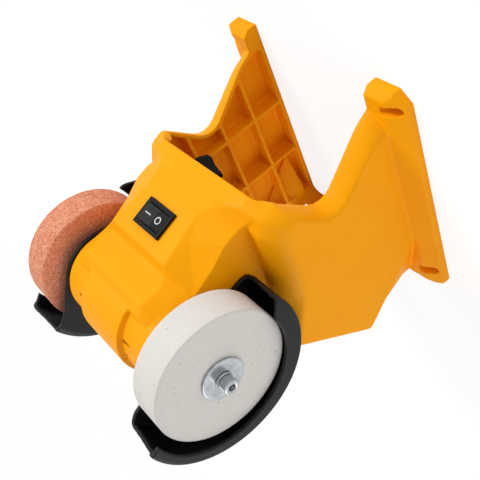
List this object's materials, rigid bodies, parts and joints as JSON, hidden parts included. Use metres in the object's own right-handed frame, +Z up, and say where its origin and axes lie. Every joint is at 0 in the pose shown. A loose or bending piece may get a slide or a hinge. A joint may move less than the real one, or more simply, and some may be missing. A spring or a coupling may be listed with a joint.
{
  "type": "bench grinder",
  "caption": "Compact battery-powered bench grinder: a motor barrel with a guarded grinding wheel at each end, standing on two ribbed side walls with slotted feet and a battery bay between.",
  "frame": {"origin": "middle of the four bench slots, on the bench plane under the feet", "axes": "+Z up, -Y towards the switch side where the work is held, +X along the spindle towards the pink wheel"},
  "size_m": [0.1552, 0.1426, 0.1935],
  "materials": {
    "housing_plastic": "moulded, fine satin",
    "guard_plastic": "moulded, matt",
    "dock_plastic": "moulded, satin",
    "switch_plastic": "semi-gloss",
    "white_abrasive": "bonded grit",
    "pink_abrasive": "bonded grit",
    "bush_plastic": "moulded",
    "plated_steel": "bright zinc plate",
    "dark_screws": "black oxide",
    "turned_steel": "turned",
    "bearing_steel": "ground and polished",
    "can_steel": "zinc plated, drawn",
    "ferrite": "sintered",
    "end_bell_plastic": "moulded",
    "core_steel": "stacked laminations",
    "copper": "enamelled wire and bare bars",
    "fan_plastic": "moulded",
    "contact_brass": "stamped",
    "carbon": "pressed carbon",
    "spring_steel": "drawn wire",
    "red_insulation": "soft",
    "black_insulation": "soft"
  },
  "bodies": {
    "housing": {"main_housing": "housing_plastic", "rear_cover": "housing_plastic", "cover_screws": "dark_screws", "wheel_guard_left": "guard_plastic", "wheel_guard_right": "guard_plastic", "guard_screws": "plated_steel", "bearing_outer_rings": "bearing_steel", "bearing_balls": "bearing_steel", "motor_can": "can_steel", "field_magnets": "ferrite", "motor_end_bell": "end_bell_plastic", "brush_boxes": "contact_brass", "carbon_brushes": "carbon", "brush_springs": "spring_steel", "switch_body": "switch_plastic", "switch_terminals": "contact_brass", "battery_dock": "dock_plastic", "dock_screws": "plated_steel", "contact_blades": "contact_brass", "battery_lead": "red_insulation", "switch_lead": "red_insulation", "motor_lead": "black_insulation"},
    "spindle": {"white_wheel": "white_abrasive", "pink_wheel": "pink_abrasive", "wheel_bushes": "bush_plastic", "inner_flanges": "turned_steel", "outer_washers": "plated_steel", "lock_washers": "plated_steel", "spindle_screws": "plated_steel", "spindle": "turned_steel", "bearing_inner_rings": "bearing_steel", "rotor_core": "core_steel", "rotor_windings": "copper", "commutator": "copper", "cooling_fan": "fan_plastic"},
    "rocker": {"switch_rocker": "switch_plastic"}
  },
  "joints": [
    {"name": "spindle_spin", "type": "hinge", "parent": "housing", "child": "spindle", "pos_m": [0, -0.0023, 0.1446], "axis": [1, 0, 0], "continuous": true},
    {"name": "switch_rock", "type": "hinge", "parent": "housing", "child": "rocker", "pos_m": [0, -0.04516, 0.11664], "axis": [0, 0.3024, 0.9532], "range_deg": [0, 16]}
  ]
}
